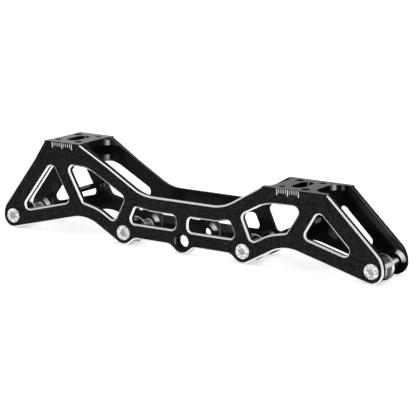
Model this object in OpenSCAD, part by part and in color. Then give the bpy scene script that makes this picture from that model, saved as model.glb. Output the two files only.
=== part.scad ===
// Inline skate frame with four axle screws and four flanged spacers.
// X runs to the front of the skate, Y away from the axle heads, Z up.
// The origin is the centre of the empty middle axle hole, half way between the walls.

/* [Axles] */
// Distance from the rear axle to the front axle
wheelbase = 261; // [243:1:290]
// Shaft diameter of an axle
axle_dia = 7.94; // [7:0.02:9]
// Diameter of the axle's screwed end, drawn plain at its root
axle_root_dia = 6.9; // [6:0.02:6.98]
// Diameter of the axle head
head_dia = 10; // [9.4:0.1:11]
// Height of the axle head
head_height = 1.9; // [1.2:0.1:2.2]
// Width across the flats of the hexagonal drive socket
socket_flats = 4; // [3:0.5:5]
// Depth of the drive socket
socket_depth = 3; // [1.5:0.5:6]

/* [Walls] */
// Width over both walls at the axles
frame_width = 35; // [33:0.5:40]
// Thickness of a side wall
wall = 3.5; // [3:0.1:4.5]
// Outward lean of a wall's outer face at the rear deck
flare = 2; // [0.5:0.1:2.5]
// Width of the 45 degree bevel round the walls and windows
edge_bevel = 1; // [0.4:0.1:1.4]
// Radius of the lobes under the axles
lobe_radius = 7.8; // [7:0.1:9]
// Height of the top edge between the decks
saddle_height = 25.8; // [24.5:0.1:30]
// Height of the flat bottom edge beside the middle lobe
keel_height = -2.9; // [-4:0.1:-2]
// Inner radius of the window corners
window_radius = 3; // [2:0.1:3.4]

/* [Decks] */
// Distance between the centres of the two mounting slots
mount_spacing = 165; // [160:0.5:170]
// Position of the front mounting slot
front_mount_x = 74.6; // [72:0.1:77]
// Height of the rear deck above the axles
rear_deck_height = 53.2; // [52:0.1:58]
// Height of the front deck above the axles
front_deck_height = 42.1; // [41.5:0.1:46]
// Thickness of the rear deck
rear_deck_thickness = 4.6; // [3.5:0.1:5.5]
// Thickness of the front deck
front_deck_thickness = 3.3; // [2.8:0.1:4]
// Width of a mounting slot along the frame
slot_width = 8.6; // [8:0.1:9.4]
// Length of a mounting slot across the frame
slot_length = 19; // [16:0.5:20]
// Diameter of the two larger holes beside a slot
large_hole_dia = 5.4; // [4.5:0.1:5.6]
// Diameter of the two smaller holes beside a slot
small_hole_dia = 4.2; // [3:0.1:4.6]

/* [Spacers] */
// Clear distance between the bosses of the two walls
boss_gap = 24; // [23:0.5:25]
// Length of a spacer
spacer_length = 9.8; // [8:0.1:11]
// Outer diameter of the spacer sleeve
spacer_dia = 14.6; // [12:0.1:15]
// Diameter of the spacer flange
flange_dia = 16.2; // [15.6:0.1:17]
// Thickness of the spacer flange
flange_thickness = 1.2; // [0.8:0.1:2]

/* [Fits] */
// Radial running clearance of an axle shaft in its bore
bore_clearance = 0.03; // [0.02:0.01:0.08]
// Radial clearance of the screwed end in the far wall
thread_clearance = 0.05; // [0.02:0.01:0.08]
// Radial clearance of a spacer on its axle
spacer_clearance = 0.05; // [0.02:0.01:0.08]
// Radial clearance of an axle head in its recess
head_clearance = 0.2; // [0.1:0.05:0.4]
// Gap under an axle head and beside a spacer
seat_gap = 0.05; // [0.02:0.01:0.1]

/* [Hidden] */
$fn = 96;

// Axle stations, rear to front, with the empty hole in the middle
x_rear = -wheelbase / 2;
x_second = -wheelbase / 6;
x_third = wheelbase / 6;
x_front = wheelbase / 2;
stations = [x_rear, x_second, 0, x_third, x_front];

// Across the frame
y_out = frame_width / 2;
y_in = y_out - wall;
y_boss = boss_gap / 2;
boss_height = y_in - y_boss;
boss_base = lobe_radius - 0.2;
boss_tip = 5.6;

// Bores
bore_dia = axle_dia + 2 * bore_clearance;
thread_dia = axle_root_dia + 2 * thread_clearance;
recess_dia = head_dia + 2 * head_clearance;
recess_depth = head_height + seat_gap;
end_setback = 0.6;

// Decks
rear_mount_x = front_mount_x - mount_spacing;
rear_deck_tail = rear_mount_x - 13.2;
rear_deck_nose = rear_mount_x + 13.9;
rear_plate_tail = rear_mount_x - 12.1;
rear_pocket = rear_deck_nose - 0.7;
front_deck_tail = front_mount_x - 18.2;
front_deck_nose = front_mount_x + 25.6;
front_plate_tail = front_mount_x - 14.6;
front_pocket = front_mount_x + 13.6;
pocket_radius = 9;
tail_radius = 3;
hole_x = 8;
hole_y = y_in - 3;
web_top = rear_deck_height - 10.8;
web_thickness = 4.2;
nose_trim = 0.5;
web_tail = rear_mount_x + 5.9;
bar_width = 5.1;
bar_fillet = 2;
bar_z = 20.4;
bar_height = 2;
root = 0.4;

// Plane geometry of the wall: points are [x, z], headings in degrees
function dir(a) = [cos(a), sin(a)];
function turned(a, b) = a[0] * b[1] - a[1] * b[0];
function heading(v) = atan2(v[1], v[0]);
function beside(c, r, a) = c + r * [sin(a), -cos(a)];
function meet(p, a, q, b) = p + dir(a) * turned(q - p, dir(b)) / turned(dir(a), dir(b));
function corner(p, r) = [p[0], p[1], r];

// Headings of the wall's edges, walked with the metal on the left
a_tail = 14.75;
a_under = 29.4;
a_lobe = 38;
a_rise = 31;
a_slope = 30;
a_end = 97;
end_reach = lobe_radius + 0.1;
end_bend_rear = 14;
end_bend_front = 14;
arch_radius = 24;
saddle_radius = 28;
keel_radius = 5;
deck_corner = 1.2;

c_rear = [x_rear, 0];
c_second = [x_second, 0];
c_middle = [0, 0];
c_third = [x_third, 0];
c_front = [x_front, 0];
p_tail = beside(c_rear, end_reach, a_tail);
p_second = beside(c_second, lobe_radius, -a_under);
p_second_up = beside(c_second, lobe_radius, a_lobe);
p_middle = beside(c_middle, lobe_radius, -a_lobe);
p_middle_up = beside(c_middle, lobe_radius, a_lobe);
p_third = beside(c_third, lobe_radius, -a_lobe);
p_third_up = beside(c_third, lobe_radius, a_under);
p_nose = beside(c_front, end_reach, -a_tail);
p_front_end = beside(c_front, end_reach, a_end);
p_rear_end = beside(c_rear, end_reach, -a_end);
p_keel = [0, keel_height];
p_front_nose = [front_deck_nose, front_deck_height];
p_front_tail = [front_deck_tail, front_deck_height];
p_saddle = [0, saddle_height];
p_rear_nose = [rear_deck_nose, rear_deck_height];
p_rear_tail = [rear_deck_tail, rear_deck_height];
// The end slopes run from the decks to points just above the end lobes
p_front_knee = c_front + [7.1, 7.2];
p_rear_knee = c_rear + [-7.3, 5.5];
a_front_slope = heading(p_front_nose - p_front_knee);
a_rear_slope = heading(p_rear_knee - p_rear_tail);

outline = [
  corner(meet(p_tail, a_tail, p_second, -a_under), arch_radius),
  corner(meet(p_second, -a_under, p_second_up, a_lobe), lobe_radius),
  corner(meet(p_second_up, a_lobe, p_keel, 0), keel_radius),
  corner(meet(p_keel, 0, p_middle, -a_lobe), keel_radius),
  corner(meet(p_middle, -a_lobe, p_middle_up, a_lobe), lobe_radius),
  corner(meet(p_middle_up, a_lobe, p_keel, 0), keel_radius),
  corner(meet(p_keel, 0, p_third, -a_lobe), keel_radius),
  corner(meet(p_third, -a_lobe, p_third_up, a_under), lobe_radius),
  corner(meet(p_third_up, a_under, p_nose, -a_tail), arch_radius),
  corner(meet(p_nose, -a_tail, p_front_end, a_end), end_reach),
  corner(meet(p_front_end, a_end, p_front_nose, a_front_slope), end_bend_front),
  corner(p_front_nose, deck_corner),
  corner(p_front_tail, deck_corner),
  corner(meet(p_front_tail, 180 + a_rise, p_saddle, 180), saddle_radius),
  corner(meet(p_saddle, 180, p_rear_nose, 180 - a_slope), saddle_radius),
  corner(p_rear_nose, deck_corner),
  corner(p_rear_tail, deck_corner),
  corner(meet(p_rear_tail, a_rear_slope, p_rear_end, 360 - a_end), end_bend_rear),
  corner(meet(p_rear_end, -a_end, p_tail, a_tail), end_reach)
];

// Windows through the wall, tied to the axles and decks beside them
rw = window_radius;
z_rear = rear_deck_height;
z_front = front_deck_height;
windows = [
  [[x_rear + 6.1, 4, rw], [x_rear + 45.8, 14.6, rw], [x_rear + 31.3, z_rear - 14.4, rw]],
  [[x_rear + 56.1, 15.7, rw], [x_second - 18.4, 13, 30], [x_second - 6.9, 6.3, rw],
   [x_second + 1, 22.7, rw + 0.6], [x_second - 27.2, z_rear - 15.1, 26],
   [x_rear + 43.2, z_rear - 14.75, rw]],
  [[x_second + 4.3, 6.85, rw], [-4.6, 6.85, rw + 0.3], [-4.9, 15.95, rw],
   [-23.5, 16.05, 30], [x_second + 9.1, 17.6, rw - 0.6]],
  [[4.4, 6.85, rw + 0.3], [x_third - 4.5, 6.85, rw], [x_third - 9.6, 17.9, rw],
   [25.6, 15.97, 30], [4.7, 15.95, rw]],
  [[x_third + 6.2, 6.3, rw], [x_third + 18.6, 13, 30], [x_front - 57, 15.4, rw - 0.6],
   [x_front - 47.1, z_front - 10.2, rw], [x_third + 16, z_front - 10.25, 26],
   [x_third - 1.2, 22.3, rw + 0.3]],
  [[x_front - 45.6, 14.2, rw], [x_front - 7.5, 4, rw], [x_front - 35.7, z_front - 11, rw]]
];

// The bar joins the middle of the strips between the first two windows
function edge_x(p, q, z) = p[0] + (q[0] - p[0]) * (z - p[1]) / (q[1] - p[1]);
bar_mid = bar_z + bar_height / 2;
strip_rear = edge_x(windows[0][1], windows[0][2], bar_mid);
strip_front = edge_x(windows[1][0], windows[1][5], bar_mid);
bar_x = (strip_rear + strip_front) / 2;

// The outer face is upright up to the flare's foot and leans outward above it
flare_foot = z_rear - 13;
flare_rate = flare / (z_rear - flare_foot);
function lean(z) = max(0, z - flare_foot) * flare_rate;

// Rounding of a corner: headings in and out, turn, tangent length, tangent points, arc centre
function at(path, i) = let (p = path[(i + len(path)) % len(path)]) [p[0], p[1]];
function in_dir(path, i) = heading(at(path, i) - at(path, i - 1));
function out_dir(path, i) = heading(at(path, i + 1) - at(path, i));
function wrapped(d) = d > 180 ? d - 360 : d < -180 ? d + 360 : d;
function turn(path, i) = wrapped(out_dir(path, i) - in_dir(path, i));
function reach(path, i) = path[i][2] * tan(abs(turn(path, i)) / 2);
function start_pt(path, i) = at(path, i) - reach(path, i) * dir(in_dir(path, i));
function end_pt(path, i) = at(path, i) + reach(path, i) * dir(out_dir(path, i));
function bend(path, i) = sign(turn(path, i)) * path[i][2];
function centre(path, i) = start_pt(path, i) + bend(path, i) * dir(in_dir(path, i) + 90);

// Rounding circles are a little larger than tangent ones, so that they cross the edges cleanly
swell = 1.0006;
spread = 6;
function first_ray(path, i) = in_dir(path, i) - 90 * sign(turn(path, i));
function last_ray(path, i) = out_dir(path, i) - 90 * sign(turn(path, i));

// Part of the circle that rounds a corner, a little past its tangent points and its chord
module slice(path, i) {
  c = centre(path, i);
  r = path[i][2] * swell;
  past = sign(turn(path, i)) * spread;
  a = dir(first_ray(path, i) - past);
  b = dir(last_ray(path, i) + past);
  tip = c + 1.3 * (at(path, i) - c);
  intersection() {
    translate(c) circle(r = r);
    polygon([c + 0.9 * r * a, c + 1.3 * r * a, tip, c + 1.3 * r * b, c + 0.9 * r * b]);
  }
}

// Outline with rounded corners
module rounded(path) {
  n = len(path);
  difference() {
    union() {
      polygon([for (i = [0 : n - 1], e = [0, 1]) e == 0 ? start_pt(path, i) : end_pt(path, i)]);
      for (i = [0 : n - 1])
        if (turn(path, i) > 0) slice(path, i);
    }
    for (i = [0 : n - 1])
      if (turn(path, i) < 0) slice(path, i);
  }
}

over = 0.2;
stop_short = 0.45;
// Metal taken off one bevelled edge: side 1 cuts outside the path, side -1 inside it.
// At a hollow corner the arc's cut passes its tangent points, elsewhere the straight cuts do.
function hollow(path, i, side) = side * turn(path, i) > 0;
function straight_lap(path, i, side) = hollow(path, i, side) ? 0 : path[i][2] * spread * PI / 180;

// Straight cut between two points [x, z], which climbs from height u to height v
module bevel_cut(p, u, q, v, side) {
  run = norm(q - p);
  translate([p[0], p[1], u])
  rotate([0, 0, heading(q - p)])
  rotate([0, -atan2(v - u, run), 0])
  rotate([90, 0, 90])
  linear_extrude(norm([run, v - u]))
  polygon([[side * over, over], [-side * (edge_bevel + over), over], [side * over, -edge_bevel - over]]);
}

// A cut that passes the flare's foot is made in two parts, which cross there
foot_lap = 1;
module bevel_straight(p, q, side) {
  crosses = (p[1] - flare_foot) * (q[1] - flare_foot) < 0;
  if (crosses) {
    d = (q - p) / norm(q - p);
    c = p + d * (flare_foot - p[1]) / d[1];
    climb = d[1] * flare_rate;
    up = d[1] > 0;
    c_low = up ? c + foot_lap * d : c - foot_lap * d;
    c_high = up ? c - foot_lap * d : c + foot_lap * d;
    low_end = up ? p : q;
    high_end = up ? q : p;
    drop = -foot_lap * abs(climb);
    rise = (high_end[1] - flare_foot) * flare_rate;
    if (up) {
      bevel_cut(low_end, 0, c_low, 0, side);
      bevel_cut(c_high, drop, high_end, rise, side);
    } else {
      bevel_cut(high_end, rise, c_high, drop, side);
      bevel_cut(c_low, 0, low_end, 0, side);
    }
  } else {
    bevel_cut(p, lean(p[1]), q, lean(q[1]), side);
  }
}

module bevel_arc(path, i, side) {
  r = path[i][2] * swell;
  t = turn(path, i);
  s = side * sign(t);
  lap = hollow(path, i, side) ? spread : 0;
  c = centre(path, i);
  translate([c[0], c[1], 0])
  rotate([0, 0, min(first_ray(path, i), first_ray(path, i) + t) - lap])
  rotate_extrude(angle = abs(t) + 2 * lap)
  polygon([[r - s * over, over], [r + s * (edge_bevel + over), over], [r - s * over, -edge_bevel - over]]);
}

// Bevel along a path, from the corner numbered first to the one after last.
// An open bevel stops just short of the corners at both its ends.
module bevel(path, side, first, last, open) {
  n = len(path);
  for (k = [first : last]) {
    i = k % n;
    j = (k + 1) % n;
    d = dir(out_dir(path, i));
    a_stop = open && k == first;
    b_stop = open && k == last;
    a = a_stop ? at(path, i) + stop_short * d : end_pt(path, i) - straight_lap(path, i, side) * d;
    b = b_stop ? at(path, j) - stop_short * d : start_pt(path, j) + straight_lap(path, j, side) * d;
    bevel_straight(a, b, side);
    if (!a_stop) bevel_arc(path, i, side);
  }
}

// Space outside a wall lying flat
module outside() {
  far = 60;
  top = z_rear + 10;
  translate([x_rear - far, 0, 0])
  rotate([90, 0, 90])
  linear_extrude(wheelbase + 2 * far)
  polygon([[-far, 0], [flare_foot, 0], [top, lean(top)], [top, far], [-far, far]]);
}

// One wall lying flat, its outer face at height zero below the flare
module flat_wall() {
  difference() {
    translate([0, 0, -wall])
    linear_extrude(wall + flare + 1)
    difference() {
      rounded(outline);
      for (w = windows) rounded(w);
    }
    outside();
    for (w = windows) bevel(w, 1, 0, len(w) - 1, false);
    // The upper edge between the decks, then round the ends and the bottom
    bevel(outline, -1, 12, 14, true);
    bevel(outline, -1, 16, 29, true);
  }
}

module walls() {
  for (m = [0, 1])
    mirror([0, m, 0])
    rotate([90, 0, 0])
    translate([0, 0, y_out])
    flat_wall();
}

// Plan of a deck between two cross edges, each with fillets into the walls
module end_pocket(x, r, side) {
  translate([x, 0])
  rotate(side > 0 ? 0 : 180) {
    translate([0, r - y_in]) square([2 * r, 2 * (y_in - r)]);
    translate([r, -y_in]) square([r, 2 * y_in]);
    for (s = [-1, 1]) translate([r, s * (y_in - r)]) circle(r = r);
  }
}

module deck_plan(x0, r0, x1, r1) {
  half = y_in + root;
  difference() {
    translate([x0 - r0, -half]) square([x1 + r1 - x0 + r0, 2 * half]);
    if (r0 > 0) end_pocket(x0, r0, -1);
    if (r1 > 0) end_pocket(x1, r1, 1);
  }
}

// Slot across the frame with four holes round it
module mount_cuts(x, z, depth) {
  flat = slot_length - slot_width;
  translate([x, 0, z - depth - 0.5])
  linear_extrude(depth + 1) {
    square([slot_width, flat], center = true);
    for (s = [-1, 1]) translate([0, s * flat / 2]) circle(d = slot_width);
    for (s = [-1, 1]) {
      translate([s * hole_x, -s * hole_y]) circle(d = large_hole_dia);
      translate([s * hole_x, s * hole_y]) circle(d = small_hole_dia);
    }
  }
}

module rear_deck() {
  difference() {
    translate([0, 0, z_rear - rear_deck_thickness])
    linear_extrude(rear_deck_thickness)
    deck_plan(rear_plate_tail, 0, rear_pocket, pocket_radius);
    // Its fillets are trimmed just under the slope of the walls
    translate([rear_deck_nose - nose_trim, y_out, z_rear])
    rotate([0, a_slope, 0])
    rotate([90, 0, 0])
    linear_extrude(frame_width)
    translate([-5, 0]) square([30, 15]);
    mount_cuts(rear_mount_x, z_rear, rear_deck_thickness);
  }
}

module rear_web() {
  translate([0, 0, web_top - web_thickness])
  linear_extrude(web_thickness)
  deck_plan(web_tail, 0, rear_pocket, pocket_radius);
}

module front_deck() {
  difference() {
    translate([0, 0, z_front - front_deck_thickness])
    linear_extrude(front_deck_thickness)
    deck_plan(front_plate_tail, tail_radius, front_pocket, pocket_radius);
    mount_cuts(front_mount_x, z_front, front_deck_thickness);
  }
}

module bridge_bar() {
  translate([0, 0, bar_z])
  linear_extrude(bar_height)
  deck_plan(bar_x - bar_width / 2, bar_fillet, bar_x + bar_width / 2, bar_fillet);
}

// Turned about an axle's line, with height zero on the outer face of the near wall
module on_axle(x) {
  translate([x, -y_out, 0])
  rotate([-90, 0, 0])
  children();
}

module bosses() {
  for (x = stations)
    on_axle(x) {
      translate([0, 0, wall]) cylinder(h = boss_height, r1 = boss_base, r2 = boss_tip);
      translate([0, 0, frame_width - wall - boss_height])
      cylinder(h = boss_height, r1 = boss_tip, r2 = boss_base);
    }
}

module axle_bores() {
  for (x = stations)
    on_axle(x) {
      translate([0, 0, -1]) cylinder(h = y_out, d = bore_dia);
      translate([0, 0, -1]) cylinder(h = recess_depth + 1, d = recess_dia);
      translate([0, 0, y_out]) cylinder(h = y_out + 1, d = thread_dia);
    }
}

module frame_body() {
  color("DimGray")
  difference() {
    union() {
      walls();
      rear_deck();
      rear_web();
      front_deck();
      bridge_bar();
      bosses();
    }
    axle_bores();
  }
}

head_edge = 0.4;
end_edge = 0.6;
module axle(x) {
  shoulder = y_out + y_boss - seat_gap;
  tip = frame_width - end_setback;
  r_head = head_dia / 2;
  r_shaft = axle_dia / 2;
  r_end = axle_root_dia / 2;
  on_axle(x)
  difference() {
    rotate_extrude()
    polygon([[0, 0], [r_head - head_edge, 0], [r_head, head_edge], [r_head, head_height],
             [r_shaft, head_height], [r_shaft, shoulder], [r_end, shoulder],
             [r_end, tip - end_edge], [r_end - end_edge, tip], [0, tip]]);
    translate([0, 0, -1])
    cylinder(h = socket_depth + 1, d = socket_flats / cos(30), $fn = 6);
  }
}

spacer_edge = 0.3;
module spacer(x) {
  foot = wall + boss_height + seat_gap;
  r_bore = axle_dia / 2 + spacer_clearance;
  r_out = spacer_dia / 2;
  r_rim = flange_dia / 2;
  z_rim = spacer_length - flange_thickness;
  on_axle(x)
  translate([0, 0, foot])
  rotate_extrude()
  polygon([[r_bore, 0], [r_out - spacer_edge, 0], [r_out, spacer_edge], [r_out, z_rim],
           [r_rim - spacer_edge, z_rim], [r_rim, z_rim + spacer_edge],
           [r_rim, spacer_length - spacer_edge], [r_rim - spacer_edge, spacer_length],
           [r_bore, spacer_length]]);
}

module axle_1() { color("Silver") axle(x_rear); }
module axle_2() { color("Silver") axle(x_second); }
module axle_3() { color("Silver") axle(x_third); }
module axle_4() { color("Silver") axle(x_front); }
module spacer_1() { color("LightGray") spacer(x_rear); }
module spacer_2() { color("LightGray") spacer(x_second); }
module spacer_3() { color("LightGray") spacer(x_third); }
module spacer_4() { color("LightGray") spacer(x_front); }

frame_body();
axle_1();
axle_2();
axle_3();
axle_4();
spacer_1();
spacer_2();
spacer_3();
spacer_4();
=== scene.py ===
import bpy
from mathutils import Matrix, Vector


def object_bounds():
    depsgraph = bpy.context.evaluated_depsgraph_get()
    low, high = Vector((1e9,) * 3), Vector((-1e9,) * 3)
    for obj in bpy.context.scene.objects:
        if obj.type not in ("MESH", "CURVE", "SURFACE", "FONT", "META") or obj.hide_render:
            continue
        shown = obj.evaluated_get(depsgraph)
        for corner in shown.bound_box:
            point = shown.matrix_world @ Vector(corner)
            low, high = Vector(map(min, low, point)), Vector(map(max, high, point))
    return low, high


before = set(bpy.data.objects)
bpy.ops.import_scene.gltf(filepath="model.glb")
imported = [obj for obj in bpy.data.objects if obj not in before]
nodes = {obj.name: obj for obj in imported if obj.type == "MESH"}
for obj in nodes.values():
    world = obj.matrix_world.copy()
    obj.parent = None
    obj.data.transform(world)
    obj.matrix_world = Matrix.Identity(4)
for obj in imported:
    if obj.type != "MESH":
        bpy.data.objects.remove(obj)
cad_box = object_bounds()
scene = bpy.context.scene
scene.view_settings.view_transform = "Standard"

# Places on the part in mm: X to the front, Y away from the axle heads, Z up from the axles
MM = 0.001
NEAR_FACE = -17.5  # outer face of the near wall, below its lean
INNER_FACE = 14.0  # inner faces of the walls, from the middle
SKIN = 0.05  # allowance for telling a face by its place
PITCH = 43.5  # half the distance between neighbouring axles
REAR_SLOT, FRONT_SLOT = -90.4, 74.6  # centres of the mounting slots
FRONT_DECK = (41.5, 42.2)  # heights just below and above the front deck's top
REAR_DECK = 53.2  # height of the rear deck's top
LEAN_FOOT, LEAN = 40.2, 2.0  # height from which the walls lean outward, and how far
BOSS_TOP = 9.0  # height above the boss cones
FRONT_BOSS = 100.0  # only the front axle lies further forward

# Size of one part of a facet's normal when it faces straight along that axis
FLAT_ON = 0.95

# Camera, fitted to the photograph: place in mm, directions, sensor and lens in mm, clip in m
CAMERA_PLACE = (576.9, -930.5, 255.8)
CAMERA_LOOK = (-0.5096, 0.8339, -0.2118)
CAMERA_UP = (-0.1237, 0.1727, 0.9772)
CAMERA_SENSOR, CAMERA_LENS = 36.0, 155.45
CAMERA_CLIP = (0.05, 20.0)


def make_camera():
    data = bpy.data.cameras.new("camera")
    data.sensor_fit = "HORIZONTAL"
    data.sensor_width = CAMERA_SENSOR
    data.lens = CAMERA_LENS
    data.clip_start, data.clip_end = CAMERA_CLIP
    cam = bpy.data.objects.new("camera", data)
    scene.collection.objects.link(cam)
    look = Vector(CAMERA_LOOK).normalized()
    right = look.cross(Vector(CAMERA_UP)).normalized()
    up = right.cross(look).normalized()
    turn = Matrix((right, up, -look)).transposed().to_4x4()
    cam.matrix_world = Matrix.Translation(Vector(CAMERA_PLACE) * MM) @ turn
    scene.camera = cam


# Short names for the nodes of a material or a world. A mask runs from 0 to 1.
class Nodes:
    def __init__(self, owner, output="ShaderNodeOutputMaterial"):
        self.owner = owner
        owner.use_nodes = True
        self.tree = owner.node_tree
        self.tree.nodes.clear()
        self.out = self.add(output)

    def add(self, kind, **values):
        node = self.tree.nodes.new(kind)
        for key, value in values.items():
            setattr(node, key, value)
        return node

    def link(self, a, b):
        self.tree.links.new(a, b)

    def put(self, socket, value):
        if isinstance(value, bpy.types.NodeSocket):
            self.link(value, socket)
        else:
            socket.default_value = value

    def math(self, op, a, b=0.0):
        node = self.add("ShaderNodeMath", operation=op)
        self.put(node.inputs[0], a)
        self.put(node.inputs[1], b)
        return node.outputs[0]

    def chain(self, op, values):
        out = values[0]
        for value in values[1:]:
            out = self.math(op, out, value)
        return out

    # Product of masks and shares
    def both(self, *values):
        return self.chain("MULTIPLY", values)

    def most(self, *values):
        return self.chain("MAXIMUM", values)

    def plus(self, a, b):
        return self.math("ADD", a, b)

    def minus(self, a, b):
        return self.math("SUBTRACT", a, b)

    def ratio(self, a, b):
        return self.math("DIVIDE", a, b)

    def invert(self, mask):
        return self.minus(1.0, mask)

    def size(self, value):
        return self.math("ABSOLUTE", value)

    # Squared length of a flat vector, and its length
    def square(self, a, b):
        return self.plus(self.math("POWER", a, 2.0), self.math("POWER", b, 2.0))

    def length(self, a, b):
        return self.math("SQRT", self.square(a, b))

    # Distance along a flat direction
    def along(self, a, b, direction):
        return self.plus(self.both(a, direction[0]), self.both(b, direction[1]))

    def above(self, value, low):
        return self.math("GREATER_THAN", value, low)

    def below(self, value, high):
        return self.math("LESS_THAN", value, high)

    def between(self, value, low, high):
        return self.both(self.above(value, low), self.below(value, high))

    def near_to(self, value, place, reach):
        return self.below(self.size(self.minus(value, place)), reach)

    def ramp(self, value, *stops):
        node = self.add("ShaderNodeMapRange", clamp=True)
        self.put(node.inputs["Value"], value)
        for socket, stop in zip(("From Min", "From Max", "To Min", "To Max"), stops):
            self.put(node.inputs[socket], stop)
        return node.outputs["Result"]

    def rise(self, value, start, end):
        return self.ramp(value, start, end, 0.0, 1.0)

    def fall(self, value, start, end):
        return self.ramp(value, start, end, 1.0, 0.0)

    # Mask that rises between the first two stops and falls between the last two
    def hump(self, value, stops):
        return self.both(self.rise(value, *stops[:2]), self.fall(value, *stops[2:]))

    def xyz(self, vector):
        node = self.add("ShaderNodeSeparateXYZ")
        self.link(vector, node.inputs[0])
        return node.outputs

    def place(self):
        return self.add("ShaderNodeTexCoord").outputs["Object"]

    def place_mm(self):
        return [self.both(v, 1.0 / MM) for v in self.xyz(self.place())]

    def normal(self, kind="Normal"):
        return self.xyz(self.add("ShaderNodeNewGeometry").outputs[kind])

    def noise(self, scale, detail, rough, vector=None):
        node = self.add("ShaderNodeTexNoise")
        self.put(node.inputs["Scale"], scale)
        self.put(node.inputs["Detail"], detail)
        self.put(node.inputs["Roughness"], rough)
        self.link(vector if vector is not None else self.place(), node.inputs["Vector"])
        return node.outputs["Fac"]

    # A colour is a socket, three values, or one value for a grey
    def mix_colour(self, mask, a, b):
        node = self.add("ShaderNodeMix", data_type="RGBA")
        self.put(node.inputs[0], mask)
        for socket, value in ((node.inputs[6], a), (node.inputs[7], b)):
            if isinstance(value, float):
                value = (value, value, value)
            self.put(socket, (*value, 1.0) if isinstance(value, tuple) else value)
        return node.outputs[2]

    def mix_value(self, mask, a, b):
        node = self.add("ShaderNodeMix", data_type="FLOAT")
        self.put(node.inputs[0], mask)
        self.put(node.inputs[2], a)
        self.put(node.inputs[3], b)
        return node.outputs[0]

    def bump(self, height, strength, distance):
        node = self.add("ShaderNodeBump")
        self.put(node.inputs["Strength"], strength)
        self.put(node.inputs["Distance"], distance)
        self.link(height, node.inputs["Height"])
        return node.outputs["Normal"]

    def shader(self, **values):
        node = self.add("ShaderNodeBsdfPrincipled")
        for key, value in values.items():
            self.put(node.inputs[key.replace("_", " ")], value)
        return node.outputs[0]

    def finish(self, surface):
        self.link(surface, self.out.inputs["Surface"])
        return self.owner


# What the masks of the body are made from: place in mm, facet and smooth normals, inner faces
class Surface:
    def __init__(self, n):
        self.x, self.y, self.z = n.place_mm()
        self.flat, self.soft = n.normal("True Normal"), n.normal("Normal")
        self.nx, self.ny = n.size(self.flat[0]), n.size(self.flat[1])
        self.depth = n.size(self.y)
        self.inside = n.below(self.depth, INNER_FACE + SKIN)
        on_wall = n.both(n.above(self.depth, INNER_FACE - SKIN), n.above(self.ny, FLAT_ON))
        self.wall_in = n.both(self.inside, on_wall)
        station = n.math("ROUND", n.ratio(self.x, PITCH))
        self.ahead = n.minus(self.x, n.both(station, PITCH))  # in front of the nearest axle


# Pale scale ticks beside the mounting slots: eleven in a row, the ends and the middle longer
MIDDLE_TICK, HALF_STEP = 5.0, 0.5  # number of the middle tick, and half way to the next
SHORT_WIDTH, LONG_WIDTH = 0.18, 0.28  # half widths, mm
TICK_DEPTH = 0.1  # how far behind the near face a tick may lie, mm
TICK_ROWS = (
    {"first": -97.3, "pitch": 1.5, "top": 52.6, "long_end": 48.9, "short_end": 50.2},
    {"first": 66.6, "pitch": 1.47, "top": 41.8, "long_end": 37.9, "short_end": 39.2},
)


def tick_row(n, x, z, first, pitch, top, long_end, short_end):
    step = n.ratio(n.minus(x, first), pitch)
    count = n.math("ROUND", step)
    off = n.both(n.size(n.minus(step, count)), pitch)
    mid = n.size(n.minus(count, MIDDLE_TICK))
    is_long = n.most(n.above(mid, MIDDLE_TICK - HALF_STEP), n.below(mid, HALF_STEP))
    foot = n.mix_value(is_long, short_end, long_end)
    width = n.mix_value(is_long, SHORT_WIDTH, LONG_WIDTH)
    in_row = n.below(mid, MIDDLE_TICK + HALF_STEP)
    return n.both(n.below(off, width), in_row, n.below(z, top), n.above(z, foot))


def tick_mask(n, s):
    near = n.both(n.below(s.y, NEAR_FACE + TICK_DEPTH), n.above(s.ny, FLAT_ON))
    return n.both(n.most(*(tick_row(n, s.x, s.z, **row) for row in TICK_ROWS)), near)


# Bright bevels round the outer edges, drawn narrower on slopes that face up and forward
BEVEL_TILT = (0.6, 0.8)
BEVEL_DEPTH = 15.5
SLOPE_FORWARD, SLOPE_UP = (0.0, 0.3), 0.4
BEVEL_WIDTH, REAR_SLOPE_WIDTH, FRONT_SLOPE_WIDTH = 1.1, 0.72, 0.9


def bevel_mask(n, s):
    cut = n.both(n.between(s.ny, *BEVEL_TILT), n.above(s.depth, BEVEL_DEPTH))
    face = n.ramp(s.z, LEAN_FOOT, REAR_DECK, -NEAR_FACE, -NEAR_FACE + LEAN)
    slope = n.both(n.rise(s.flat[0], *SLOPE_FORWARD), n.above(s.flat[2], SLOPE_UP))
    slope_width = n.mix_value(n.above(s.x, 0.0), REAR_SLOPE_WIDTH, FRONT_SLOPE_WIDTH)
    width = n.mix_value(slope, BEVEL_WIDTH, slope_width)
    return n.both(cut, n.above(s.depth, n.minus(face, width)))


# Tone of the bevels by their direction, a painted reflection over their polished metal: upward
# ones are painted dull, downward ones bright, and forward ones bright except towards the front
BEVEL_TONE, PAINTED_DIM_BEVEL, PAINTED_BRIGHT_BEVEL = 0.77, 0.57, 0.97
UP_TILT, DOWN_TILT, FORWARD_TILT = (0.45, 0.65), (0.2, 0.5), (0.1, 0.4)
DOWN_FORWARD = (0.3, 0.5, 1.0, 0.3)  # downward ones that also face forward are less bright
FORWARD_FADE = (0.0, 60.0)  # forward ones lose their light towards the front
FORWARD_UP_SHARE = 0.6


def bevel_tone_and_painted_reflection(n, s):
    up = n.rise(s.flat[2], *UP_TILT)
    down = n.rise(n.both(s.flat[2], -1.0), *DOWN_TILT)
    down = n.both(down, n.ramp(s.flat[0], *DOWN_FORWARD))
    forward = n.both(n.rise(s.flat[0], *FORWARD_TILT), n.fall(s.x, *FORWARD_FADE))
    forward = n.both(forward, n.ramp(up, 0.0, 1.0, 1.0, FORWARD_UP_SHARE))
    tone = n.mix_colour(up, BEVEL_TONE, PAINTED_DIM_BEVEL)
    return n.mix_colour(n.most(down, forward), tone, PAINTED_BRIGHT_BEVEL)
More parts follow.
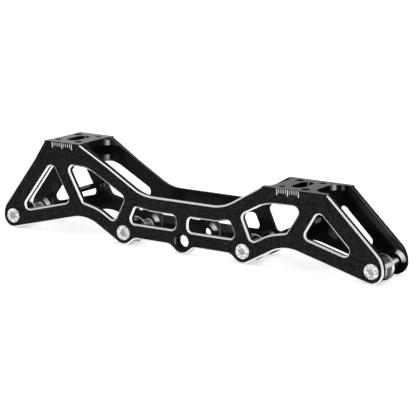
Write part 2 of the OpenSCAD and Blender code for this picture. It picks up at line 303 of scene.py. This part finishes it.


# Painted highlight: a fan of light painted on the turned cones round the axles, towards the
# upper front
CONE_DEPTH, CONE_TILT = 11.8, (0.5, 0.9)
FAN_AXIS = (0.731, 0.682)
NARROW_FAN, WIDE_FAN = (0.85, 0.96), (0.76, 0.99)  # closeness to the axis, from none to full
FAN_FOOT = (1.9, 2.9)  # height of its lower end, mm
FAN_TOP = (0.6, 0.9, 1.0, 0.2)  # it fades where the cone faces steeply up
WIDE_SHARE = 0.8


def painted_boss_fan(n, s):
    cone = n.both(s.inside, n.above(s.depth, CONE_DEPTH), n.between(s.ny, *CONE_TILT))
    cone = n.both(cone, n.below(s.z, BOSS_TOP))
    radius = n.length(s.ahead, s.z)
    aim = n.ratio(n.along(s.ahead, s.z, FAN_AXIS), radius)
    steep = n.ratio(s.z, radius)
    narrow = n.both(n.rise(aim, *NARROW_FAN), n.rise(s.z, *FAN_FOOT), n.ramp(steep, *FAN_TOP))
    wide = n.ramp(aim, *WIDE_FAN, 0.0, WIDE_SHARE)
    return n.both(cone, n.mix_value(n.above(s.x, FRONT_BOSS), narrow, wide))


# Painted highlight streaks on the upright rounded corners of the pockets and of the mounting
# slots
CORNER_NX, CORNER_NY, CORNER_NZ = 0.05, 0.12, 0.1
SLOT_REACH, SLOT_SIDE = 11.5, 4.4  # from a slot's centre along X, mm
SLOT_STREAK = (0.12, 0.22, 0.32, 0.42)
FIRST_STREAK, SECOND_STREAK = (0.62, 0.74, 0.82, 0.94), (0.14, 0.24, 0.3, 0.42)
SECOND_HEIGHT, SECOND_START = 45.0, 50.0  # the second streak is up there, or further forward
SECOND_SHARE = 0.6


def corner_painted_streaks(n, s):
    corner = n.both(s.inside, n.above(s.nx, CORNER_NX), n.above(s.ny, CORNER_NY))
    corner = n.both(corner, n.below(n.size(s.flat[2]), CORNER_NZ), n.above(s.z, BOSS_TOP))
    by_slot, in_slot = (
        n.most(n.near_to(s.x, REAR_SLOT, reach), n.near_to(s.x, FRONT_SLOT, reach))
        for reach in (SLOT_REACH, SLOT_SIDE)
    )
    slot_end_highlight = n.both(corner, in_slot, n.hump(s.soft[0], SLOT_STREAK))
    pocket = n.both(corner, n.invert(by_slot))
    turn = n.size(s.soft[0])
    first = n.both(pocket, n.hump(turn, FIRST_STREAK))
    has_second = n.most(n.above(s.z, SECOND_HEIGHT), n.above(s.x, SECOND_START))
    second = n.both(pocket, has_second, n.hump(turn, SECOND_STREAK))
    return n.most(first, n.both(second, SECOND_SHARE)), slot_end_highlight


# Painted light and shade on the inside of the walls close to the axles: a thin painted highlight
# line in front of each boss, a paler painted wall beyond it, which steps to painted shade near
# the axle line in the middle, and a painted ring of light round the boss
NO_AXLE, NO_AXLE_REACH = 2.0 * PITCH, 30.0  # stretches under the decks that have no axle
LINE_AHEAD, LINE_HALF, LINE_TOP, LINE_HIGHLIGHT_TONE = 8.75, 0.4, 7.6, 0.14
PALER_TOP, PALER_LIGHT_TONE = 18.0, 0.022
STEP_REACH, STEP_HEIGHT, STEP_PAINTED_TONES = 40.0, (1.7, 2.7), (0.011, 0.044)
RING_FOOT, RING_AHEAD, RING_FADE = 2.2, (3.0, 8.4), (6.0, 8.4)
RING_PLACE, RING_REACH, RING_LIGHT_TONES = -20.0, 35.0, (0.1, 0.04)

# Painted light: a pale strip along the sloping front edge of the walls, with a lighter lip as a
# painted highlight
EDGE_AXIS = (0.682, 0.731)
STRIP_START, STRIP_EDGE, LIP_EDGE = 98.0, (94.0, 95.4), 98.4
STRIP_HEIGHT, STRIP_LIGHT_TONES, LIP_HIGHLIGHT_TONE = (8.0, 34.0), (0.036, 0.017), 0.09

# Painted reflections as soft ovals on the far wall: centre, long axis, half lengths and tone
OVAL_EDGE = (0.6, 1.3)
PAINTED_REFLECTION_OVALS = (
    ((-71.0, 17.5), (0.9, -0.43), (10.0, 5.0), 0.03),
    ((78.2, 18.0), (0.815, 0.58), (2.9, 1.3), 0.22),
    ((88.8, 11.3), (0.75, -0.66), (4.2, 2.5), 0.03),
)

# Two painted highlight streaks on the far end of the bridge bar, one on the flat and one on the
# fillet
BAR_END = ((-80.0, 1.2), (21.3, 1.6))  # place and reach along X and Z
BAR_FROM, FLAT_STREAK, FILLET_STREAK = 9.0, (11.3, 0.6), (0.2, 0.35, 0.6, 0.75)
BAR_HIGHLIGHT_TONE = 0.2

# The inside darkens towards the front
INNER_FADE = (40.0, 70.0)
INNER_TONES = ((0.012, 0.012, 0.0125), (0.005, 0.005, 0.0052))


def soft_oval(n, s, centre, axis, half):
    dx, dz = n.minus(s.x, centre[0]), n.minus(s.z, centre[1])
    u = n.along(dx, dz, (axis[0] / half[0], axis[1] / half[0]))
    v = n.along(dx, dz, (-axis[1] / half[1], axis[0] / half[1]))
    return n.fall(n.square(u, v), *OVAL_EDGE)


def inner_tone_and_painted_light(n, s):
    tone = n.mix_colour(n.rise(s.x, *INNER_FADE), *INNER_TONES)

    by_axle = n.above(n.size(n.minus(n.size(s.x), NO_AXLE)), NO_AXLE_REACH)
    by_axle = n.both(s.wall_in, by_axle)
    # Painted light beyond each boss's line, stepping to painted shade near the axle line in the
    # middle
    paler = n.both(by_axle, n.below(s.z, PALER_TOP), n.above(s.ahead, LINE_AHEAD))
    step = n.mix_colour(n.rise(s.z, *STEP_HEIGHT), *STEP_PAINTED_TONES)
    step = n.mix_colour(n.near_to(s.x, 0.0, STEP_REACH), PALER_LIGHT_TONE, step)
    tone = n.mix_colour(paler, tone, step)

    # Painted light along the front edge of the walls, with a painted highlight on its lip
    edge = n.along(s.x, s.z, EDGE_AXIS)
    strip = n.both(s.wall_in, n.above(s.x, STRIP_START), n.rise(edge, *STRIP_EDGE))
    strip_tone = n.mix_colour(n.rise(s.z, *STRIP_HEIGHT), *STRIP_LIGHT_TONES)
    tone = n.mix_colour(strip, tone, strip_tone)
    tone = n.mix_colour(n.both(strip, n.above(edge, LIP_EDGE)), tone, LIP_HIGHLIGHT_TONE)

    # Painted highlight: a thin line in front of each boss
    line = n.both(n.below(s.z, LINE_TOP), n.near_to(s.ahead, LINE_AHEAD, LINE_HALF))
    tone = n.mix_colour(n.both(by_axle, line), tone, LINE_HIGHLIGHT_TONE)

    far_in = n.both(s.wall_in, n.above(s.y, 0.0))
    # Painted ring of light round the far bosses
    ring = n.both(n.between(s.z, RING_FOOT, BOSS_TOP), n.between(s.ahead, *RING_AHEAD))
    ring = n.both(far_in, ring, n.near_to(s.x, RING_PLACE, RING_REACH))
    tone = n.mix_colour(ring, tone, n.mix_colour(n.rise(s.ahead, *RING_FADE), *RING_LIGHT_TONES))
    # Painted reflections on the far wall
    for centre, axis, half, light in PAINTED_REFLECTION_OVALS:
        tone = n.mix_colour(n.both(far_in, soft_oval(n, s, centre, axis, half)), tone, light)

    # Painted highlights on the far end of the bridge bar
    bar_end = n.both(n.near_to(s.x, *BAR_END[0]), n.near_to(s.z, *BAR_END[1]))
    bar_end = n.both(s.inside, n.above(s.y, BAR_FROM), bar_end)
    on_flat = n.both(n.above(s.flat[0], FLAT_ON), n.near_to(s.y, *FLAT_STREAK))
    streaks = n.most(on_flat, n.hump(s.soft[0], FILLET_STREAK))
    return n.mix_colour(n.both(bar_end, streaks), tone, BAR_HIGHLIGHT_TONE)


# Black finish with grain: grain size and detail, and tones from dark to pale
GRAIN, GRAIN_SPREAD = (1400.0, 2.0, 0.6), (0.36, 0.74)
CLOUD, CLOUD_SPREAD = (60.0, 3.0, 0.6), (0.3, 0.7)
BLACK = ((0.004, 0.004, 0.0042), (0.034, 0.034, 0.0345))
# Deck tops: painted sheen, grey over the black finish, paler on the rear deck than on the front
LOW_DECK_SHEEN, HIGH_DECK_SHEEN, DECK_SPLIT, DECK_SKIN = (0.10, 0.14), (0.15, 0.21), 48.0, 0.2
# Painted highlight on the upper edges of the far wall
FAR_EDGE_NY, FAR_EDGE_UP, FAR_EDGE_END, FAR_EDGE_HIGHLIGHT_TONE = 0.1, 0.3, 56.0, 0.042
# Painted highlight on the rear side of the empty middle hole
BORE_NY, BORE_FORWARD, BORE_REAR = 0.3, (0.88, 0.98), (-5.6, -4.6)
BORE_FOOT, BORE_HIGHLIGHT_TONE = -2.5, 0.30
# Tones of the painted highlights and the ticks, metal shares and roughness of the other places
FAN_HIGHLIGHT_TONE, STREAK_HIGHLIGHT_TONE, SLOT_HIGHLIGHT_TONE, TICK_TONE = 0.85, 0.30, 0.32, 0.80
BEVEL_METAL, FAN_METAL, INNER_METAL = 0.5, 0.35, 0.35
OUTER_ROUGH, INNER_ROUGH, STREAK_ROUGH, BEVEL_ROUGH = (0.42, 0.5), 0.12, 0.22, 0.16
GRAIN_BUMP = (0.2, 0.00005)


def anodised_body():
    n = Nodes(bpy.data.materials.new("anodised_body"))
    s = Surface(n)
    bevel = bevel_mask(n, s)
    at_deck = n.most(n.between(s.z, *FRONT_DECK), n.above(s.z, REAR_DECK - DECK_SKIN))
    deck = n.both(n.above(s.flat[2], FLAT_ON), at_deck)
    satin = n.both(s.inside, n.invert(deck))
    fan = painted_boss_fan(n, s)
    streak, slot_end_highlight = corner_painted_streaks(n, s)
    bright = n.most(n.both(fan, FAN_METAL), streak)
    far_edge_highlight = n.both(n.below(s.ny, FAR_EDGE_NY), n.above(s.flat[2], FAR_EDGE_UP))
    far_edge_highlight = n.both(far_edge_highlight, n.above(s.y, INNER_FACE), n.below(s.x, FAR_EDGE_END))
    bore_highlight = n.both(n.below(s.ny, BORE_NY), n.rise(s.flat[0], *BORE_FORWARD))
    bore_highlight = n.both(bore_highlight, n.below(s.y, -INNER_FACE), n.between(s.x, *BORE_REAR))
    bore_highlight = n.both(bore_highlight, n.above(s.z, BORE_FOOT))

    speckle = n.noise(*GRAIN)
    grain = n.rise(speckle, *GRAIN_SPREAD)
    low, high = n.mix_colour(grain, *LOW_DECK_SHEEN), n.mix_colour(grain, *HIGH_DECK_SHEEN)
    # Painted highlight on the upper edges of the far wall, over the black finish with grain
    colour = n.mix_colour(far_edge_highlight, n.mix_colour(grain, *BLACK), FAR_EDGE_HIGHLIGHT_TONE)
    # Painted highlight on the rear side of the empty middle hole
    colour = n.mix_colour(bore_highlight, colour, BORE_HIGHLIGHT_TONE)
    # Painted light and shade on the inside of the walls
    colour = n.mix_colour(satin, colour, inner_tone_and_painted_light(n, s))
    # Painted highlight: the fan on the boss cones
    colour = n.mix_colour(fan, colour, FAN_HIGHLIGHT_TONE)
    # Painted highlights: streaks on the rounded corners of the pockets
    colour = n.mix_colour(streak, colour, STREAK_HIGHLIGHT_TONE)
    # Painted highlight on the far ends of the mounting slots
    colour = n.mix_colour(slot_end_highlight, colour, SLOT_HIGHLIGHT_TONE)
    # Painted sheen: the deck tops are painted grey, paler on the rear deck
    colour = n.mix_colour(deck, colour, n.mix_colour(n.above(s.z, DECK_SPLIT), low, high))
    # Bevels: polished metal tone with a painted reflection that follows their direction
    colour = n.mix_colour(bevel, colour, bevel_tone_and_painted_reflection(n, s))
    colour = n.mix_colour(tick_mask(n, s), colour, TICK_TONE)

    metal = n.most(n.both(bevel, BEVEL_METAL), bright, n.both(satin, INNER_METAL))
    outer_rough = n.ramp(n.noise(*CLOUD), *CLOUD_SPREAD, *OUTER_ROUGH)
    rough = n.mix_value(satin, outer_rough, INNER_ROUGH)
    rough = n.mix_value(bright, rough, STREAK_ROUGH)
    rough = n.mix_value(bevel, rough, BEVEL_ROUGH)
    return n.finish(
        n.shader(
            Base_Color=colour,
            Metallic=metal,
            Roughness=rough,
            Specular_IOR_Level=0.0,
            Normal=n.bump(n.both(speckle, n.invert(satin)), *GRAIN_BUMP),
        )
    )


# Axles: crackled head and plain shaft. Inside the frame the shaft shows soft light, most of it
# near the far boss, and the front shaft is painted dark as painted shade, with one bright stripe
# as a painted highlight.
HEAD_DEPTH = 0.6
SHAFT_FROM, SOFT_BAND = 2.0, (9.6, 10.4, 0.14, 0.6)
STRIPE, STRIPE_SHARE, STRIPE_SHADE_AND_HIGHLIGHT_TONES = (0.15, 0.35, 0.6, 0.8), 0.8, (0.3, 0.8)
CRACKLE, CRACKLE_SPREAD = (700.0, 4.0, 0.7), (0.38, 0.58)
HEAD_TONES, SHAFT_TONE = ((0.22, 0.22, 0.225), (0.82, 0.82, 0.82)), (0.70, 0.70, 0.71)
STEEL_GRAIN, STEEL_ROUGH = (2400.0, 2.0, 0.5), (0.3, 0.7, 0.2, 0.3)
CRACKLE_BUMP = (0.6, 0.0005)


def axle_steel():
    n = Nodes(bpy.data.materials.new("axle_steel"))
    x, y, _ = n.place_mm()
    head = n.below(y, NEAR_FACE + HEAD_DEPTH)
    covered = n.both(n.below(x, FRONT_SLOT), n.above(y, SHAFT_FROM))
    front_shaft = n.both(n.above(x, FRONT_SLOT), n.above(y, 0.0))
    stripe = n.both(front_shaft, n.hump(n.normal()[2], STRIPE))
    soft = n.most(n.both(covered, n.ramp(y, *SOFT_BAND)), n.both(stripe, STRIPE_SHARE))
    crackle = n.noise(*CRACKLE)
    head_tone = n.mix_colour(n.rise(crackle, *CRACKLE_SPREAD), *HEAD_TONES)
    colour = n.mix_colour(head, SHAFT_TONE, head_tone)
    # Painted shade on the front shaft, with a bright stripe as a painted highlight
    colour = n.mix_colour(front_shaft, colour, n.mix_colour(stripe, *STRIPE_SHADE_AND_HIGHLIGHT_TONES))
    return n.finish(
        n.shader(
            Base_Color=colour,
            Metallic=n.invert(soft),
            Roughness=n.ramp(n.noise(*STEEL_GRAIN), *STEEL_ROUGH),
            Normal=n.bump(n.both(crackle, head), *CRACKLE_BUMP),
        )
    )


# Spacers: turned sleeves. Inside the frame they are painted dim as painted shade, with a painted
# highlight as a bright rim at the free end, and the front one has a painted reflection of a dark
# ceiling above its bright band.
TURNING_SCALE, TURNING = (40.0, 3000.0, 40.0), (1.0, 2.0, 0.5)
TURNING_SPREAD, SLEEVE_TONES = (0.3, 0.7), ((0.74, 0.74, 0.75), (0.84, 0.84, 0.85))
RIM_FROM, RIM_HIGHLIGHT_TONE, RIM_SHARE, SLEEVE_SHADE_TONE = -3.2, 0.6, 0.8, 0.22
SLEEVE_END, CEILING, CEILING_FADE, CEILING_REFLECTION_TONES = -3.0, (0.54, 0.6), (0.6, 0.9), (0.2, 0.1)
SLEEVE_GRAIN, SLEEVE_ROUGH = (1800.0, 2.0, 0.5), (0.3, 0.7, 0.08, 0.13)
TURNING_BUMP = (0.1, 0.00003)


def spacer_metal():
    n = Nodes(bpy.data.materials.new("spacer_metal"))
    x, y, _ = n.place_mm()
    stretch = n.add("ShaderNodeMapping")
    n.link(n.place(), stretch.inputs["Vector"])
    stretch.inputs["Scale"].default_value = TURNING_SCALE
    rings = n.noise(*TURNING, stretch.outputs[0])
    covered = n.below(x, FRONT_SLOT)
    rim = n.both(covered, n.above(y, RIM_FROM))
    facing_up = n.normal()[2]
    front_sleeve = n.both(n.above(x, FRONT_SLOT), n.below(y, SLEEVE_END))
    upper = n.both(front_sleeve, n.rise(facing_up, *CEILING))
    ceiling = n.mix_colour(n.rise(facing_up, *CEILING_FADE), *CEILING_REFLECTION_TONES)
    colour = n.mix_colour(n.rise(rings, *TURNING_SPREAD), *SLEEVE_TONES)
    # Painted shade: sleeves inside the frame are dim
    colour = n.mix_colour(covered, colour, SLEEVE_SHADE_TONE)
    # Painted highlight: a bright rim at the free end
    colour = n.mix_colour(rim, colour, RIM_HIGHLIGHT_TONE)
    # Painted reflection of a dark ceiling on the front sleeve's upper side
    colour = n.mix_colour(upper, colour, ceiling)
    return n.finish(
        n.shader(
            Base_Color=colour,
            Metallic=n.invert(n.both(rim, RIM_SHARE)),
            Roughness=n.ramp(n.noise(*SLEEVE_GRAIN), *SLEEVE_ROUGH),
            Normal=n.bump(rings, *TURNING_BUMP),
        )
    )


AXLES = 4


def dress():
    looks = {"frame_body": anodised_body()}
    steel, sleeve = axle_steel(), spacer_metal()
    for k in range(1, AXLES + 1):
        looks[f"axle_{k}"] = steel
        looks[f"spacer_{k}"] = sleeve
    for name, mat in looks.items():
        materials = nodes[name].data.materials
        materials.clear()
        materials.append(mat)


# Plain pale floor, white for the camera, with the object's shadow kept. Mirror rays see it white
# in front of a line under the object and dim behind it. Under the front axle the line steps
# nearer. Lengths are in m.
FLOOR_HALF = 4.0
FLOOR_GLOW = (0.25, 0.7, 0.6, 1.0)
LINE_TURN, LINE_EDGE = (0.1, 0.125, 0.0, 0.022), (0.004, 0.014)
FLOOR_TONE, FLOOR_MIRROR_TONE = 0.6, 0.12
WHITE = (1.0, 1.0, 1.0, 1.0)


def make_stage():
    low, far = cad_box[0].z, FLOOR_HALF
    corners = [(-far, -far, low), (far, -far, low), (far, far, low), (-far, far, low)]
    mesh = bpy.data.meshes.new("floor")
    mesh.from_pydata(corners, [], [(0, 1, 2, 3)])
    floor = bpy.data.objects.new("floor", mesh)
    scene.collection.objects.link(floor)
    n = Nodes(bpy.data.materials.new("floor_white"))
    x, y, _ = n.xyz(n.place())
    path = n.add("ShaderNodeLightPath").outputs
    mirrored = path["Is Glossy Ray"]
    front = n.fall(n.plus(y, n.ramp(x, *LINE_TURN)), *LINE_EDGE)
    seen = n.most(path["Is Camera Ray"], n.both(mirrored, front), path["Is Transmission Ray"])
    behind = n.both(mirrored, n.invert(front))
    diffuse = n.add("ShaderNodeBsdfDiffuse")
    n.link(n.mix_colour(behind, FLOOR_TONE, FLOOR_MIRROR_TONE), diffuse.inputs["Color"])
    glow = n.add("ShaderNodeEmission")
    glow.inputs["Color"].default_value = WHITE
    n.link(n.both(seen, n.ramp(n.length(x, y), *FLOOR_GLOW)), glow.inputs["Strength"])
    add = n.add("ShaderNodeAddShader")
    n.link(diffuse.outputs[0], add.inputs[0])
    n.link(glow.outputs[0], add.inputs[1])
    mesh.materials.append(n.finish(add.outputs[0]))


# World: reflections see a dim patch high up behind the object, as in a dark studio
DIM_BEHIND, DIM_HIGH = (0.2, 0.5, 0.0, 0.85), (0.25, 0.45)
WORLD_LEVEL = 0.45

# Lamps: name, place, target, size in m and power in W
LAMPS = (
    ("top_softbox", (0.0, -0.1, 0.95), (0.0, 0.0, 0.0), (1.0, 0.8), 9.0),
    ("front_softbox", (0.9, -0.7, 0.5), (0.0, 0.0, 0.02), (0.5, 0.7), 5.0),
    ("left_softbox", (-0.8, -0.7, 0.45), (0.0, 0.0, 0.02), (0.4, 0.7), 4.0),
)


def make_world():
    n = Nodes(bpy.data.worlds.new("studio"), "ShaderNodeOutputWorld")
    back = n.add("ShaderNodeBackground")
    path = n.add("ShaderNodeLightPath").outputs
    sky = n.xyz(n.add("ShaderNodeTexCoord").outputs["Generated"])
    dim = n.both(n.ramp(sky[1], *DIM_BEHIND), n.rise(sky[2], *DIM_HIGH))
    mirrored = n.both(path["Is Glossy Ray"], n.invert(dim))
    seen = n.most(path["Is Camera Ray"], path["Is Transmission Ray"])
    n.link(n.most(mirrored, seen, WORLD_LEVEL), back.inputs["Strength"])
    scene.world = n.finish(back.outputs[0])


def make_lamps():
    for name, place, target, size, power in LAMPS:
        data = bpy.data.lights.new(name, "AREA")
        data.shape = "RECTANGLE"
        data.size, data.size_y = size
        data.energy = power
        lamp = bpy.data.objects.new(name, data)
        scene.collection.objects.link(lamp)
        lamp.location = place
        lamp.visible_glossy = False
        aim = Vector(target) - Vector(place)
        lamp.rotation_euler = aim.to_track_quat("-Z", "Y").to_euler()


make_camera()
dress()
make_stage()
make_world()
make_lamps()
